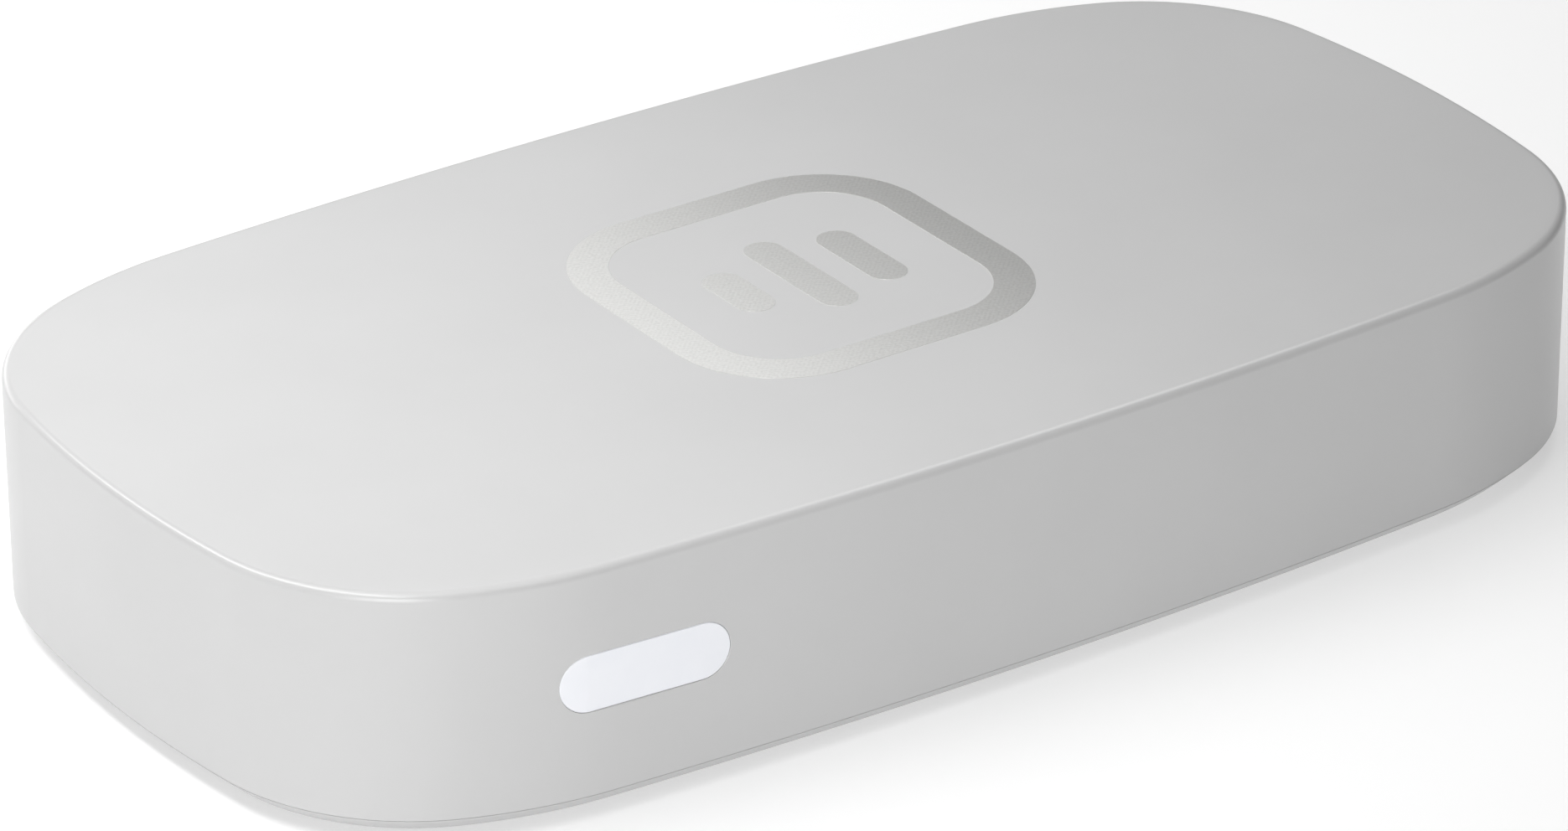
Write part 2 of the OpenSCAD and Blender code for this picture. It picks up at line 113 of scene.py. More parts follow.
# Each quarter of the outline is an end arc, a corner arc, a shoulder arc and a side arc.
ARC_TURNS = (0, 8, 67.5, 86.25, 90)
CORNER_R = 16
SHOULDER_R = 31
ARC_STEPS = (6, 36, 12, 12)
ARCS = len(ARC_STEPS)
WALL = 1.6
ROOF = 1.8
TOP_EDGE_R = 0.6
EDGE_IN = 1.1


def arc_radii():
    """Radii of the four tangent arcs: the end and side radii follow from the length and width."""
    cosines = [math.cos(math.radians(t)) for t in ARC_TURNS]
    sines = [math.sin(math.radians(t)) for t in ARC_TURNS]
    reach_x = [cosines[i] - cosines[i + 1] for i in range(ARCS)]
    reach_y = [sines[i + 1] - sines[i] for i in range(ARCS)]
    rest_x = LENGTH / 2 - reach_x[1] * CORNER_R - reach_x[2] * SHOULDER_R
    rest_y = WIDTH / 2 - reach_y[1] * CORNER_R - reach_y[2] * SHOULDER_R
    divisor = reach_x[0] * reach_y[3] - reach_x[3] * reach_y[0]
    end_r = (rest_x * reach_y[3] - rest_y * reach_x[3]) / divisor
    side_r = (rest_y * reach_x[0] - rest_x * reach_y[0]) / divisor
    return end_r, CORNER_R, SHOULDER_R, side_r


RADII = arc_radii()


def toward(degrees):
    return Vector((math.cos(math.radians(degrees)), math.sin(math.radians(degrees))))


def quarter(inset):
    """Points of the outline's first quarter, moved in by inset."""
    centre = Vector((LENGTH / 2 - RADII[0], 0))
    points = []
    for i in range(ARCS):
        if i:
            centre = centre + (RADII[i - 1] - RADII[i]) * toward(ARC_TURNS[i])
        span = ARC_TURNS[i + 1] - ARC_TURNS[i]
        for k in range(ARC_STEPS[i] + (i == ARCS - 1)):
            points.append(centre + (RADII[i] - inset) * toward(ARC_TURNS[i] + k * span / ARC_STEPS[i]))
    return points


def outline(inset):
    """The whole outline, anticlockwise from the middle of the +X end."""
    q = quarter(inset)
    second = [Vector((-p.x, p.y)) for p in q[-2::-1]]
    third = [-p for p in q[1:]]
    fourth = [Vector((p.x, -p.y)) for p in q[-2:0:-1]]
    return q + second + third + fourth


def wall_y(x):
    """Distance of the long wall's face from the middle line, at x along the body."""
    points = quarter(0)
    x = abs(x)
    for a, b in zip(points, points[1:]):
        if b.x <= x <= a.x:
            return b.y + (a.y - b.y) * (x - b.x) / (a.x - b.x)
    return points[-1].y


# ---------------------------------------------------------------- mesh helpers

SAME_POINT = 1e-5
WELD = 0.002
QUADRANTS = ((1, 1), (-1, 1), (-1, -1), (1, -1))


def new_object(name, verts, faces):
    mesh = bpy.data.meshes.new(name)
    mesh.from_pydata([tuple(v) for v in verts], [], faces)
    mesh.validate()
    obj = bpy.data.objects.new(name, mesh)
    bpy.context.scene.collection.objects.link(obj)
    return obj


def outward(obj):
    """Joins equal points and turns all the faces outwards."""
    bm = bmesh.new()
    bm.from_mesh(obj.data)
    bmesh.ops.remove_doubles(bm, verts=bm.verts, dist=SAME_POINT)
    bmesh.ops.recalc_face_normals(bm, faces=bm.faces)
    bm.to_mesh(obj.data)
    bm.free()
    return obj


def loft(name, rings, closed=False):
    """A skin over rings of equally many points. The ends get caps, or the last ring joins the first."""
    count = len(rings[0])
    verts = [p for ring in rings for p in ring]
    faces = []
    last = len(rings) if closed else len(rings) - 1
    for r in range(last):
        a, b = r * count, ((r + 1) % len(rings)) * count
        for k in range(count):
            n = (k + 1) % count
            faces.append((a + k, a + n, b + n, b + k))
    if not closed:
        faces.append(tuple(range(count - 1, -1, -1)))
        faces.append(tuple(range((len(rings) - 1) * count, len(rings) * count)))
    return outward(new_object(name, verts, faces))


def level_ring(inset, z):
    return [Vector((p.x, p.y, z)) for p in outline(inset)]


def shape_ring(points, z):
    return [Vector((p[0], p[1], z)) for p in points]


def lathe(name, profile, steps=48, centre=(0, 0)):
    """Turns a profile of (radius, z) round a vertical line, with flat caps on its two ends."""
    rings = []
    for radius, z in profile:
        spokes = [radius * toward(360 * k / steps) for k in range(steps)]
        rings.append([Vector((centre[0] + p.x, centre[1] + p.y, z)) for p in spokes])
    return loft(name, rings)


def baked(obj):
    """Applies an object's modifiers."""
    graph = bpy.context.evaluated_depsgraph_get()
    mesh = bpy.data.meshes.new_from_object(obj.evaluated_get(graph))
    old = obj.data
    obj.modifiers.clear()
    obj.data = mesh
    mesh.name = obj.name
    bpy.data.meshes.remove(old)
    return obj


def removed(obj):
    """Deletes an object and its mesh."""
    mesh = obj.data
    bpy.data.objects.remove(obj)
    bpy.data.meshes.remove(mesh)


def boolean(obj, tools, operation="DIFFERENCE"):
    """Cuts the tools from obj, or joins them to it, and removes them."""
    for tool in tools:
        modifier = obj.modifiers.new("boolean", "BOOLEAN")
        modifier.operation = operation
        modifier.solver = "EXACT"
        modifier.object = tool
        baked(obj)
        removed(tool)
    return welded(obj)


def welded(obj):
    """Joins points that fall together and drops the faces that have no area."""
    bm = bmesh.new()
    bm.from_mesh(obj.data)
    bmesh.ops.remove_doubles(bm, verts=bm.verts, dist=WELD)
    bmesh.ops.dissolve_degenerate(bm, dist=WELD, edges=bm.edges)
    bm.to_mesh(obj.data)
    bm.free()
    return obj


def joined(name, objects):
    """Several closed meshes as one object."""
    bm = bmesh.new()
    for obj in objects:
        bm.from_mesh(obj.data)
        removed(obj)
    mesh = bpy.data.meshes.new(name)
    bm.to_mesh(mesh)
    bm.free()
    result = bpy.data.objects.new(name, mesh)
    bpy.context.scene.collection.objects.link(result)
    return result


def brick(name, centre, size, edge=0.0, segments=2):
    """A box with rounded edges."""
    bm = bmesh.new()
    bmesh.ops.create_cube(bm, size=1)
    bmesh.ops.scale(bm, vec=size, verts=bm.verts)
    bmesh.ops.translate(bm, vec=centre, verts=bm.verts)
    if edge:
        bmesh.ops.bevel(bm, geom=bm.edges[:], offset=edge, segments=segments, profile=0.5, affect="EDGES")
    mesh = bpy.data.meshes.new(name)
    bm.to_mesh(mesh)
    bm.free()
    obj = bpy.data.objects.new(name, mesh)
    bpy.context.scene.collection.objects.link(obj)
    return obj


def stadium(length, height, steps=24):
    """A round-ended bar along x, drawn anticlockwise round the middle."""
    points = []
    for end in (0, 1):
        for i in range(steps + 1):
            p = toward(180 * end - 90 + 180 * i / steps) * (height / 2)
            points.append(Vector(((1 - 2 * end) * (length - height) / 2 + p.x, p.y)))
    return points


def round_rect(width, height, radius, steps=10):
    """A rectangle with round corners, drawn anticlockwise round the middle."""
    points = []
    for corner, (sx, sy) in enumerate(QUADRANTS):
        centre = Vector((sx * (width / 2 - radius), sy * (height / 2 - radius)))
        for i in range(steps + 1):
            points.append(centre + radius * toward(90 * corner + 90 * i / steps))
    return points


def piece(obj, material, slot, *nodes, smooth=35):
    """Scales a finished mesh from millimetres to metres, shades it, and puts it in place of its CAD nodes."""
    obj.name = f"{nodes[0]}_skin"
    obj.data.name = obj.name
    obj.data.transform(Matrix.Scale(MM, 4))
    obj.data.shade_smooth()
    obj.data.set_sharp_from_angle(angle=math.radians(smooth))
    weighted = obj.modifiers.new("weighted", "WEIGHTED_NORMAL")
    weighted.keep_sharp = True
    weighted.weight = 100
    obj.data.materials.clear()
    obj.data.materials.append(material)
    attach(obj, "root")
    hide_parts(*nodes)
    return obj


# ---------------------------------------------------------------- materials

# Nearly all of a noise texture's values lie between these two.
NOISE_LOW = 0.3
NOISE_HIGH = 0.7


def start_material(name):
    """A new node material: its tree, its Principled shader and its object coordinates."""
    material = bpy.data.materials.new(name)
    material.use_nodes = True
    tree = material.node_tree
    shader = tree.nodes["Principled BSDF"]
    place = tree.nodes.new("ShaderNodeTexCoord")
    return material, tree, shader, place.outputs["Object"]


def noise(tree, place, size, detail=2.0, stretch=(1, 1, 1)):
    """Noise whose blobs are about size millimetres across."""
    mapping = tree.nodes.new("ShaderNodeMapping")
    mapping.inputs["Scale"].default_value = [s / (size * MM) for s in stretch]
    tree.links.new(place, mapping.inputs["Vector"])
    texture = tree.nodes.new("ShaderNodeTexNoise")
    texture.inputs["Scale"].default_value = 1
    texture.inputs["Detail"].default_value = detail
    tree.links.new(mapping.outputs["Vector"], texture.inputs["Vector"])
    return texture.outputs["Fac"]


def ranged(tree, value, low, high):
    """Maps a noise's usual span to low..high."""
    node = tree.nodes.new("ShaderNodeMapRange")
    node.inputs["From Min"].default_value = NOISE_LOW
    node.inputs["From Max"].default_value = NOISE_HIGH
    node.inputs["To Min"].default_value = low
    node.inputs["To Max"].default_value = high
    tree.links.new(value, node.inputs["Value"])
    return node.outputs["Result"]


def blended(tree, factor, first, second):
    node = tree.nodes.new("ShaderNodeMix")
    node.data_type = "RGBA"
    node.inputs["A"].default_value = (*first, 1)
    node.inputs["B"].default_value = (*second, 1)
    tree.links.new(factor, node.inputs["Factor"])
    return node.outputs["Result"]


def bumped(tree, shader, height, depth, before=None):
    """Bump of the given depth in millimetres, on top of an earlier one if it is given."""
    node = tree.nodes.new("ShaderNodeBump")
    node.inputs["Strength"].default_value = 1
    node.inputs["Distance"].default_value = depth * MM
    tree.links.new(height, node.inputs["Height"])
    if before:
        tree.links.new(before, node.inputs["Normal"])
    tree.links.new(node.outputs["Normal"], shader.inputs["Normal"])
    return node.outputs["Normal"]


def moulded_plastic(name, colour, roughness, grain=0.25, depth=0.004, spread=0.015, specular=0.5):
    """Satin moulded plastic: an eroded mould texture, with slight drifts of tone and gloss."""
    material, tree, shader, place = start_material(name)
    drift = noise(tree, place, 14, 3)
    darker = [c * (1 - spread) for c in colour]
    lighter = [min(1, c * (1 + spread)) for c in colour]
    tree.links.new(blended(tree, ranged(tree, drift, 0, 1), darker, lighter), shader.inputs["Base Color"])
    fine = noise(tree, place, grain, 2)
    gloss = ranged(tree, noise(tree, place, 5, 4), roughness - 0.01, roughness + 0.01)
    tree.links.new(gloss, shader.inputs["Roughness"])
    bumped(tree, shader, fine, depth)
    shader.inputs["Specular IOR Level"].default_value = specular
    return material


def metal(name, colour, roughness, brushed=(1, 1, 1), grain=0.12, depth=0.002, spread=0.05):
    """Plated or bare metal with a fine directional grain."""
    material, tree, shader, place = start_material(name)
    fine = noise(tree, place, grain, 3, brushed)
    darker = [c * (1 - spread) for c in colour]
    tree.links.new(blended(tree, ranged(tree, fine, 0, 1), darker, colour), shader.inputs["Base Color"])
    tree.links.new(ranged(tree, fine, roughness - 0.05, roughness + 0.05), shader.inputs["Roughness"])
    bumped(tree, shader, fine, depth)
    shader.inputs["Metallic"].default_value = 1
    return material


def maths(tree, operation, first, *rest):
    """A math node on a socket and on further sockets or plain numbers."""
    node = tree.nodes.new("ShaderNodeMath")
    node.operation = operation
    tree.links.new(first, node.inputs[0])
    for i, value in enumerate(rest, 1):
        if isinstance(value, (int, float)):
            node.inputs[i].default_value = value
        else:
            tree.links.new(value, node.inputs[i])
    return node.outputs["Value"]


def emblem_foil():
    """Hot stamped silver foil: a fine woven emboss under a soft metallic sheen."""
    thread_mm = 0.40
    weave_tone = 0.12
    material, tree, shader, place = start_material("emblem_foil")
    split = tree.nodes.new("ShaderNodeSeparateXYZ")
    tree.links.new(place, split.inputs["Vector"])
    threads = []
    for axis in ("X", "Y"):
        turns = maths(tree, "MULTIPLY", split.outputs[axis], 2 * math.pi / (thread_mm * MM))
        threads.append(maths(tree, "SINE", turns))
    weave = maths(tree, "MULTIPLY", threads[0], threads[1])
    speckle = noise(tree, place, 0.22, 2)
    tone = maths(tree, "MULTIPLY_ADD", weave, weave_tone, speckle)
    silver = blended(tree, ranged(tree, tone, 0, 1), (0.88, 0.88, 0.862), (1.0, 1.0, 0.98))
    tree.links.new(silver, shader.inputs["Base Color"])
    tree.links.new(ranged(tree, speckle, 0.277, 0.283), shader.inputs["Roughness"])
    woven = bumped(tree, shader, weave, 0.0002)
    bumped(tree, shader, speckle, 0.0003, before=woven)
    shader.inputs["Metallic"].default_value = 1
    return material


def milky_diffuser():
    """The light window: milky plastic with a faint even glow."""
    material, tree, shader, place = start_material("milky_diffuser")
    cloud = ranged(tree, noise(tree, place, 2.5, 2), 0, 1)
    milk = blended(tree, cloud, (0.83, 0.843, 0.882), (0.85, 0.86, 0.895))
    tree.links.new(milk, shader.inputs["Base Color"])
    tree.links.new(ranged(tree, noise(tree, place, 0.6, 2), 0.32, 0.38), shader.inputs["Roughness"])
    shader.inputs["Emission Color"].default_value = (0.9, 0.93, 1, 1)
    shader.inputs["Emission Strength"].default_value = 0.03
    bumped(tree, shader, noise(tree, place, 0.4, 2), 0.001)
    return material


def rubber(name, colour, roughness=0.75):
    """Matt rubber or foam with a fine pebbled grain."""
    material, tree, shader, place = start_material(name)
    fine = noise(tree, place, 0.18, 3)
    darker = [c * 0.8 for c in colour]
    tree.links.new(blended(tree, ranged(tree, fine, 0, 1), darker, colour), shader.inputs["Base Color"])
    tree.links.new(ranged(tree, fine, roughness - 0.06, roughness + 0.06), shader.inputs["Roughness"])
    bumped(tree, shader, fine, 0.01)
    return material


def laminate():
    """Lacquered circuit board: green fields with lighter lines between them, under a glossy mask."""
    material, tree, shader, place = start_material("solder_mask")
    bricks = tree.nodes.new("ShaderNodeTexBrick")
    bricks.inputs["Scale"].default_value = 1 / (9 * MM)
    bricks.inputs["Mortar Size"].default_value = 0.03
    bricks.inputs["Color1"].default_value = (0.010, 0.075, 0.050, 1)
    bricks.inputs["Color2"].default_value = (0.012, 0.085, 0.058, 1)
    bricks.inputs["Mortar"].default_value = (0.03, 0.15, 0.10, 1)
    tree.links.new(place, bricks.inputs["Vector"])
    tree.links.new(bricks.outputs["Color"], shader.inputs["Base Color"])
    weave = noise(tree, place, 0.35, 2)
    tree.links.new(ranged(tree, weave, 0.25, 0.35), shader.inputs["Roughness"])
    bumped(tree, shader, bricks.outputs["Fac"], 0.01)
    return material


def clear_plastic():
    """Clear plastic with a slight haze."""
    material, tree, shader, place = start_material("clear_acrylic")
    haze = noise(tree, place, 1.5, 2)
    tint = blended(tree, ranged(tree, haze, 0, 1), (0.90, 0.94, 0.96), (0.94, 0.97, 0.98))
    tree.links.new(tint, shader.inputs["Base Color"])
    tree.links.new(ranged(tree, haze, 0.05, 0.12), shader.inputs["Roughness"])
    shader.inputs["Transmission Weight"].default_value = 0.85
    return material


HOUSING_GREY = (0.56, 0.56, 0.56)
MATERIALS = {
    "housing": moulded_plastic("housing", HOUSING_GREY, 0.30, depth=0.0015, specular=0.8),
    "base": moulded_plastic("base", [c * 0.97 for c in HOUSING_GREY], 0.5),
    "foot_rubber": rubber("foot_rubber", (0.035, 0.035, 0.037)),
    "dark_steel": metal("dark_steel", (0.09, 0.09, 0.095), 0.4),
    "bright_steel": metal("bright_steel", (0.62, 0.61, 0.58), 0.3),
    "label": moulded_plastic("label", (0.50, 0.50, 0.51), 0.38, grain=0.1, depth=0.001),
    "emblem_foil": emblem_foil(),
    "diffuser": milky_diffuser(),
    "clear_acrylic": clear_plastic(),
    "black_foam": rubber("black_foam", (0.02, 0.02, 0.021), 0.9),
    "led_resin": moulded_plastic("led_resin", (0.85, 0.78, 0.50), 0.3),
    "solder_mask": laminate(),
    "socket_steel": metal("socket_steel", (0.60, 0.60, 0.61), 0.32, brushed=(1, 0.15, 1)),
    "socket_black": moulded_plastic("socket_black", (0.018, 0.018, 0.019), 0.5, grain=0.15, spread=0.2),
    "gold_contact": metal("gold_contact", (0.83, 0.60, 0.24), 0.25, brushed=(1, 0.1, 1)),
    "shield_tin": metal("shield_tin", (0.58, 0.58, 0.58), 0.35),
    "anodised_black": metal("anodised_black", (0.05, 0.05, 0.055), 0.45, brushed=(1, 0.1, 1)),
    "thermal_pad": rubber("thermal_pad", (0.30, 0.36, 0.46), 0.7),
    "chip_epoxy": moulded_plastic("chip_epoxy", (0.022, 0.022, 0.023), 0.6, grain=0.1, spread=0.15),
    "crystal_can": metal("crystal_can", (0.70, 0.69, 0.66), 0.25),
    "ferrite": moulded_plastic("ferrite", (0.07, 0.07, 0.075), 0.65, grain=0.2, depth=0.01, spread=0.2),
    "capacitor_body": moulded_plastic("capacitor_body", (0.36, 0.24, 0.13), 0.45, spread=0.1),
    "resistor_body": moulded_plastic("resistor_body", (0.02, 0.02, 0.022), 0.35, spread=0.1),
}

# ---------------------------------------------------------------- housing

SEAM_EDGE = 0.03
SEAM_GAP = 0.02
HAIRLINE = 0.02
CUT_PAST = 1

VIDEO_MOUTH = ((5.3, -2.275), (7, -0.4), (7, 2.275), (-7, 2.275), (-7, -0.4), (-5.3, -2.275))
VIDEO_MOUTH_HALF = max(x for x, z in VIDEO_MOUTH)
VIDEO_MOUTH_TOP = max(z for x, z in VIDEO_MOUTH)
VIDEO_METAL = 0.4
DATA_MOUTH = (8.34, 2.56)
DATA_METAL = 0.3
SOCKET_GAP = 0.15
SOCKET_CHAMFER = 0.25
VIDEO_OPENING_R = 0.7

WINDOW_LOW, WINDOW_HIGH = box_mm("status_window")
FLANGE_GROW = 0.7
WINDOW_LENGTH = WINDOW_HIGH.x - WINDOW_LOW.x - 2 * FLANGE_GROW
WINDOW_HEIGHT = WINDOW_HIGH.z - WINDOW_LOW.z - 2 * FLANGE_GROW
WINDOW_X = (WINDOW_LOW.x + WINDOW_HIGH.x) / 2
WINDOW_Z = (WINDOW_LOW.z + WINDOW_HIGH.z) / 2

SCREW_LOW, SCREW_HIGH = box_mm("case_screws")
SCREW_HEAD_R = 2.3
SCREW_HEAD_T = 1.4
SCREW_R = 1.1
SCREW_X = SCREW_HIGH.x - SCREW_HEAD_R
SCREW_Y = SCREW_HIGH.y - SCREW_HEAD_R
CASE_SCREWS = [(sx * SCREW_X, sy * SCREW_Y) for sx, sy in QUADRANTS]
BOARD_SCREWS = ((34.5, 19.5), (-34.5, 19.5), (-14, -20), (34.5, -19.5))
BOARD_SCREW_R = 0.95
THREAD_GAP = 0.025

BOARD_LOW, BOARD_HIGH = box_mm("circuit_board")
BOSS_LOW = BOARD_LOW.z - 0.75
BOSS_R = 3.1
BOSS_CHAMFER = 0.2
BORE_CHAMFER = 0.3
# How far a boss's root flares out, at heights from the roof's inner face.
BOSS_ROOT = ((0, -1), (0.3, -0.3), (0.8, 0.2), (0.8, 0.4))


def shell_centre(node, metal_t, mouth_top):
    """Centre of a socket's mouth: x, the mouth's y, and z measured down from the shell's top."""
    low, high = box_mm(node)
    return (low.x + high.x) / 2, high.y, high.z - metal_t - mouth_top


def round_polygon(points, grow, radius, steps=6):
    """A convex polygon listed anticlockwise, with its sides moved out by grow and its corners rounded."""
    count = len(points)
    corners = [Vector(p) for p in points]
    result = []
    for i in range(count):
        before = (corners[i] - corners[i - 1]).normalized()
        after = (corners[(i + 1) % count] - corners[i]).normalized()
        n1 = Vector((before.y, -before.x))
        n2 = Vector((after.y, -after.x))
        centre = corners[i] + (grow - radius) * (n1 + n2) / (1 + n1.dot(n2))
        a1 = math.degrees(math.atan2(n1.y, n1.x))
        span = (math.degrees(math.atan2(n2.y, n2.x)) - a1) % 360
        for k in range(steps + 1):
            result.append(centre + radius * toward(a1 + span * k / steps))
    return result


def video_outline(grow, corner_r):
    return round_polygon(VIDEO_MOUTH, grow, corner_r)


def data_outline(grow):
    return stadium(DATA_MOUTH[0] + 2 * grow, DATA_MOUTH[1] + 2 * grow)


def window_outline(grow):
    return stadium(WINDOW_LENGTH + 2 * grow, WINDOW_HEIGHT + 2 * grow)


def on_wall(points, centre_x, centre_z, side, depth):
    """Points drawn in x and z, laid on the front (side -1) or back (side 1) wall, depth under its face."""
    return [
        Vector((centre_x + p[0], side * (wall_y(centre_x + p[0]) - depth), centre_z + p[1]))
        for p in points
    ]


def wall_cutter(shape, centre_x, centre_z, side, chamfer):
    """A cutter through the wall whose mouth flares by chamfer at the face. shape(grow) gives its outline."""
    proud = 0.4
    stations = ((chamfer + proud, -proud), (0, chamfer), (0, WALL + 1.5))
    return loft("cutter", [
        on_wall(shape(grow), centre_x, centre_z, side, depth) for grow, depth in stations
    ])


def video_opening(node):
    """A cutter for the opening round a video socket's shell."""

    def shape(grow):
        return video_outline(VIDEO_METAL + SOCKET_GAP + grow, VIDEO_OPENING_R + grow)

    x, _, z = shell_centre(node, VIDEO_METAL, VIDEO_MOUTH_TOP)
    return wall_cutter(shape, x, z, 1, SOCKET_CHAMFER)


def data_opening():
    """A cutter for the opening round the data socket's shell."""

    def shape(grow):
        return data_outline(DATA_METAL + SOCKET_GAP + grow)

    x, _, z = shell_centre("usb_c_shell", DATA_METAL, DATA_MOUTH[1] / 2)
    return wall_cutter(shape, x, z, 1, SOCKET_CHAMFER)


def window_slot():
    """A cutter for the window's slot, a hairline larger than the window."""

    def shape(grow):
        return window_outline(HAIRLINE + grow)

    return wall_cutter(shape, WINDOW_X, WINDOW_Z, -1, HAIRLINE)


def boss(x, y):
    """A screw boss with a chamfered pilot bore, a flared root and a closed top inside the roof."""
    bore = SCREW_R + THREAD_GAP
    roof_inside = TOP_Z - ROOF
    profile = [
        (bore, SCREW_HIGH.z + 1),
        (bore, BOSS_LOW + BORE_CHAMFER),
        (bore + BORE_CHAMFER, BOSS_LOW),
        (BOSS_R - BOSS_CHAMFER, BOSS_LOW),
        (BOSS_R, BOSS_LOW + BOSS_CHAMFER),
    ]
    profile += [(BOSS_R + flare, roof_inside + rise) for flare, rise in BOSS_ROOT]
    return lathe("boss", profile, centre=(x, y))


def top_cover():
    """Walls and roof in one skin, with the fillet, the window slot, the socket openings and the bosses."""
    fillet_steps = 10
    cavity_bevel = 0.4
    rings = [
        level_ring(WALL, SEAM_Z),
        level_ring(SEAM_EDGE, SEAM_Z),
        level_ring(0, SEAM_Z + SEAM_EDGE),
    ]
    for k in range(fillet_steps + 1):
        turn = math.radians(90 * k / fillet_steps)
        inset = TOP_EDGE_R * (1 - math.cos(turn))
        rings.append(level_ring(inset, TOP_Z - TOP_EDGE_R * (1 - math.sin(turn))))
    # Two more rings on the flat keep the roof's shading level right up to the fillet.
    rings.append(level_ring(TOP_EDGE_R + 0.6, TOP_Z))
    rings.append(level_ring(TOP_EDGE_R + 3, TOP_Z))
    cover = loft("top_cover", rings)
    cavity = loft("cavity", [
        level_ring(WALL, SEAM_Z - CUT_PAST),
        level_ring(WALL, TOP_Z - ROOF - cavity_bevel),
        level_ring(WALL + cavity_bevel, TOP_Z - ROOF),
    ])
    boolean(cover, [cavity])
    boolean(cover, [boss(x, y) for x, y in CASE_SCREWS], "UNION")
    for node in ("video_in_shell", "video_out_shell"):
        boolean(cover, [video_opening(node)])
    boolean(cover, [data_opening()])
    boolean(cover, [window_slot()])
    return piece(cover, MATERIALS["housing"], "housing", "top_cover")


# ---------------------------------------------------------------- base, feet and label

FLOOR_Z = BASE_Z + 1.6
LIP_GAP = 0.1
LIP_T = 1
LIP_TOP_Z = BASE_Z + 3.6
BASE_ROUND_R = 0.3

CASE_POST_R = 3.7
BOARD_POST_R = 2.3
# How far a post's root flares out, at heights from the floor.
CASE_POST_ROOT = ((0.7, -0.5), (0.7, 0), (0.2, 0.3), (0, 0.7))
BOARD_POST_ROOT = ((0.6, -0.5), (0.6, 0), (0.2, 0.25), (0, 0.6))

FOOT_R = (feet_high.x - feet_low.x) / 2 - SCREW_X
FOOT_GAP = 0.05
FOOT_FLARE = 0.15
FOOT_SEAT_Z = feet_high.z
FOOT_RIM_R = 0.35
# The dish in a foot's face: distance in from the foot's edge, and height.
FOOT_DISH = ((1.9, 0.12), (1.5, 0.04), (1.2, 0))
SCREW_GAP = 0.1

LABEL_POCKET_GROW = 0.5
LABEL_POCKET_T = 0.15
# The label's face: inset, corner radius and depth of each line of its pressed border.
LABEL_STEPS = ((1.2, 0.6, 0.03), (1.0, 0.8, 0.03), (0.95, 0.8, 0), (0.03, 1.2, 0), (0, 1.2, 0.03))


def post(at, radius, root, top, chamfer, bore=()):
    """A screw post: a flared root on the floor, a chamfered top, and a bore if its profile is given."""
    profile = [(radius + flare, FLOOR_Z + rise) for flare, rise in root]
    profile += [(radius, top - chamfer), (radius - chamfer, top)]
    return lathe("post", profile + list(bore), centre=at)


def case_post(at):
    return post(at, CASE_POST_R, CASE_POST_ROOT, BOSS_LOW - 0.1, 0.2)


def board_post(at):
    bore = BOARD_SCREW_R + THREAD_GAP
    top = BOARD_LOW.z
    return post(at, BOARD_POST_R, BOARD_POST_ROOT, top, 0.15, ((bore, top), (bore, FLOOR_Z + 0.1)))


def foot_recess(at):
    """A cutter for a foot's recess, the screw head's counterbore and the screw's clearance hole."""
    hole = FOOT_R + FOOT_GAP
    head = SCREW_HEAD_R + SCREW_GAP
    head_top = SCREW_LOW.z + SCREW_HEAD_T
    shank = SCREW_R + SCREW_GAP
    return lathe("recess", [
        (hole + 0.9, BASE_Z - CUT_PAST),
        (hole + FOOT_FLARE, BASE_Z),
        (hole, BASE_Z + FOOT_FLARE),
        (hole, FOOT_SEAT_Z),
        (head, FOOT_SEAT_Z),
        (head, head_top),
        (shank, head_top),
        (shank, BOSS_LOW + CUT_PAST),
    ], centre=at)


def bottom_cover():
    """The base: a sloping edge, a locating lip, foot recesses, screw posts and a recess for the label."""
    slope_z = SEAM_Z - SEAM_GAP
    lip_out = WALL + LIP_GAP
    lip_in = lip_out + LIP_T
    round_steps = 4
    rings = [
        level_ring(EDGE_IN + BASE_ROUND_R + 1.5, BASE_Z),
        level_ring(EDGE_IN + BASE_ROUND_R, BASE_Z),
    ]
    for k in range(1, round_steps + 1):
        turn = math.radians(45 * k / round_steps)
        inset = EDGE_IN + BASE_ROUND_R * (1 - math.sin(turn)) - 0.02 * k
        rings.append(level_ring(inset, BASE_Z + BASE_ROUND_R * (1 - math.cos(turn))))
    rings += [
        level_ring(SEAM_EDGE, slope_z - SEAM_EDGE),
        level_ring(SEAM_EDGE, slope_z),
        level_ring(lip_out, slope_z),
        level_ring(lip_out, LIP_TOP_Z - 0.2),
        level_ring(lip_out + 0.2, LIP_TOP_Z),
        level_ring(lip_in, LIP_TOP_Z),
        level_ring(lip_in, FLOOR_Z + 0.3),
        level_ring(lip_in + 0.3, FLOOR_Z),
    ]
    base = loft("bottom_cover", rings)
    posts = [case_post(at) for at in CASE_SCREWS]
    posts += [board_post(at) for at in BOARD_SCREWS]
    boolean(base, posts, "UNION")
    for at in CASE_SCREWS:
        boolean(base, [foot_recess(at)])
    label_low, label_high = box_mm("rating_label")
    size = label_high - label_low
    pocket = round_rect(size.x + 2 * LABEL_POCKET_GROW, size.y + 2 * LABEL_POCKET_GROW, 1.5)
    boolean(base, [loft("pocket", [
        shape_ring(pocket, BASE_Z - CUT_PAST),
        shape_ring(pocket, BASE_Z + LABEL_POCKET_T),
    ])])
    return piece(base, MATERIALS["base"], "base", "bottom_cover")


